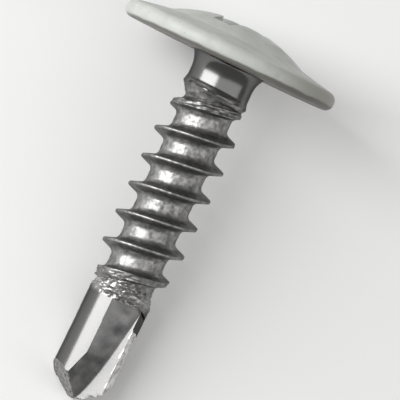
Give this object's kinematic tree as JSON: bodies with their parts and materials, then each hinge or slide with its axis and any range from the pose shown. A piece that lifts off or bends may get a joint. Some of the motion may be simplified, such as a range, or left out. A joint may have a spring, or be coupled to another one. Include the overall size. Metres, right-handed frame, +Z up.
{
  "type": "self drilling screw",
  "caption": "Self drilling screw with a broad low domed wafer head, cross recess, coarse right-hand thread and a fluted drill point, lying at rest.",
  "frame": {"origin": "middle of the bounding box's footprint, on the surface that the screw lies on", "axes": "+Z up; the screw's length lies in the XZ plane, head towards +X and raised, drill point towards -X and low"},
  "size_m": [0.0206, 0.0116, 0.0114],
  "materials": {
    "screw_steel": "bright zinc plated shank and point, head painted pale grey green in a thin satin film"
  },
  "bodies": {
    "root": {"screw": "screw_steel"}
  },
  "joints": []
}
